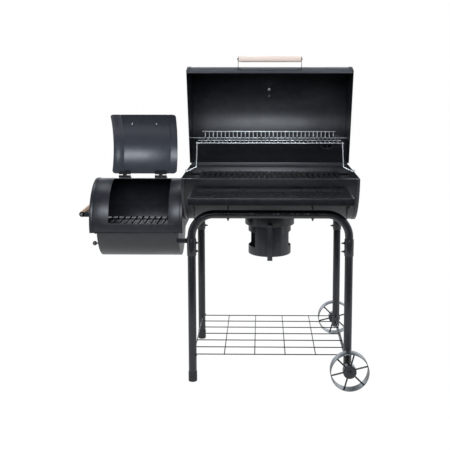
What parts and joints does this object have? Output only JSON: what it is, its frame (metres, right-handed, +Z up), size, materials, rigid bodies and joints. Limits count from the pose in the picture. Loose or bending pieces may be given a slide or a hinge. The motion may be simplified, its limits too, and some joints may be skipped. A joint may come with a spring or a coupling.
{
  "type": "offset smoker",
  "caption": "Barrel offset smoker with hinged lid, side firebox, swing-out warming rack, lift-out grates, ash can, front shelf and a tube frame on wheels.",
  "frame": {"origin": "on the floor, under the middle of the whole object's box with the lids open", "axes": "+X to the wheeled end, +Y to the back, +Z up; the open front and the shelf face -Y"},
  "size_m": [1.162, 0.9878, 1.284],
  "materials": {
    "chamber_paint": "satin powder coat",
    "lid_paint": "satin powder coat",
    "firebox_paint": "satin powder coat",
    "pan_paint": "satin heat-resistant paint",
    "frame_paint": "satin powder coat",
    "shelf_paint": "satin powder coat",
    "wire_paint": "satin powder coat",
    "hinge_steel": "satin",
    "grate_iron": "porcelain enamel, dark satin",
    "charcoal_iron": "dull dark",
    "rack_chrome": "bright plated wire",
    "lid_grip_wood": "plain, very pale",
    "side_grip_wood": "plain, light oiled",
    "wheel_steel": "grey coated",
    "axle_steel": "satin",
    "foot_plastic": "matt",
    "can_enamel": "satin enamel",
    "thermometer_steel": "satin"
  },
  "bodies": {
    "smoker_frame": {"ash_collar": "chamber_paint", "axle": "axle_steel", "chamber_end_left": "chamber_paint", "chamber_end_right": "chamber_paint", "chamber_shell": "chamber_paint", "charcoal_grate": "charcoal_iron", "cradle_front_left": "frame_paint", "cradle_front_right": "frame_paint", "cradle_rear_left": "frame_paint", "cradle_rear_right": "frame_paint", "firebox_end_left": "firebox_paint", "firebox_end_right": "firebox_paint", "firebox_grate": "charcoal_iron", "firebox_hinge_left": "hinge_steel", "firebox_hinge_right": "hinge_steel", "firebox_pan": "pan_paint", "firebox_shell": "firebox_paint", "firebox_strut": "frame_paint", "foot_front": "foot_plastic", "foot_rear": "foot_plastic", "front_shelf": "shelf_paint", "front_top_tube": "frame_paint", "grate_rail_front": "chamber_paint", "grate_rail_rear": "chamber_paint", "leg_front_left": "frame_paint", "leg_front_right": "frame_paint", "leg_rear_left": "frame_paint", "leg_rear_right": "frame_paint", "lid_hinge_left": "hinge_steel", "lid_hinge_right": "hinge_steel", "rear_top_tube": "frame_paint", "side_bracket": "firebox_paint", "side_grip": "side_grip_wood", "sleeve_front_left": "frame_paint", "sleeve_front_right": "frame_paint", "sleeve_rear_left": "frame_paint", "sleeve_rear_right": "frame_paint", "wire_shelf": "wire_paint"},
    "lid": {"lid_shell": "lid_paint", "lid_end_left": "lid_paint", "lid_end_right": "lid_paint", "lid_bracket_left": "lid_paint", "lid_bracket_right": "lid_paint", "lid_grip": "lid_grip_wood", "thermometer": "thermometer_steel", "chimney_grille": "lid_paint", "chimney_pipe": "lid_paint"},
    "warming_rack": {"warming_rack": "rack_chrome"},
    "rack_legs": {"rack_leg_left": "rack_chrome", "rack_leg_right": "rack_chrome"},
    "firebox_lid": {"firebox_lid": "firebox_paint", "firebox_bracket": "firebox_paint", "firebox_grip": "side_grip_wood"},
    "vent_disc": {"vent_disc": "pan_paint"},
    "chimney_cap": {"chimney_cap": "lid_paint"},
    "wheel_front": {"wheel_front": "wheel_steel"},
    "wheel_rear": {"wheel_rear": "wheel_steel"},
    "ash_can": {"ash_can": "can_enamel"},
    "grate_left": {"grate_left": "grate_iron"},
    "grate_right": {"grate_right": "grate_iron"}
  },
  "joints": [
    {"name": "lid_hinge", "type": "hinge", "parent": "smoker_frame", "child": "lid", "pos_m": [0.19955, 0.17062, 0.809], "axis": [1, 0, 0], "range_deg": [0, 72]},
    {"name": "rack_swing", "type": "hinge", "parent": "lid", "child": "warming_rack", "pos_m": [0.19955, 0.23562, 0.92], "axis": [1, 0, 0], "range_deg": [-72, 0]},
    {"name": "rack_leg_swing", "type": "hinge", "parent": "smoker_frame", "child": "rack_legs", "pos_m": [0.19955, -0.05838, 0.809], "axis": [1, 0, 0], "range_deg": [0, 72]},
    {"name": "firebox_lid_hinge", "type": "hinge", "parent": "smoker_frame", "child": "firebox_lid", "pos_m": [0.19955, -0.04588, 0.786], "axis": [1, 0, 0], "range_deg": [0, 136]},
    {"name": "vent_turn", "type": "hinge", "parent": "smoker_frame", "child": "vent_disc", "pos_m": [-0.49745, -0.04988, 0.52], "axis": [1, 0, 0], "range_deg": [0, 60]},
    {"name": "chimney_cap_swing", "type": "hinge", "parent": "lid", "child": "chimney_cap", "pos_m": [0.46255, 0.48963, 0.86596], "axis": [0, 0.9511, 0.309], "range_deg": [0, 90]},
    {"name": "wheel_front_roll", "type": "hinge", "parent": "smoker_frame", "child": "wheel_front", "pos_m": [0.50605, -0.37388, 0.075], "axis": [0, 1, 0], "continuous": true},
    {"name": "wheel_rear_roll", "type": "hinge", "parent": "smoker_frame", "child": "wheel_rear", "pos_m": [0.50605, 0.27412, 0.075], "axis": [0, 1, 0], "continuous": true},
    {"name": "ash_can_twist", "type": "hinge", "parent": "smoker_frame", "child": "ash_can", "pos_m": [0.19955, -0.04988, 0.464], "axis": [0, 0, 1], "range_deg": [0, 30]},
    {"name": "grate_left_lift", "type": "slide", "parent": "smoker_frame", "child": "grate_left", "axis": [0, 0, 1], "range_m": [0, 0.05]},
    {"name": "grate_right_lift", "type": "slide", "parent": "smoker_frame", "child": "grate_right", "axis": [0, 0, 1], "range_m": [0, 0.05]}
  ],
  "couplings": [
    {"joint": "rack_swing", "follows": "lid_hinge", "ratio": -1},
    {"joint": "rack_leg_swing", "follows": "lid_hinge", "ratio": 1}
  ]
}
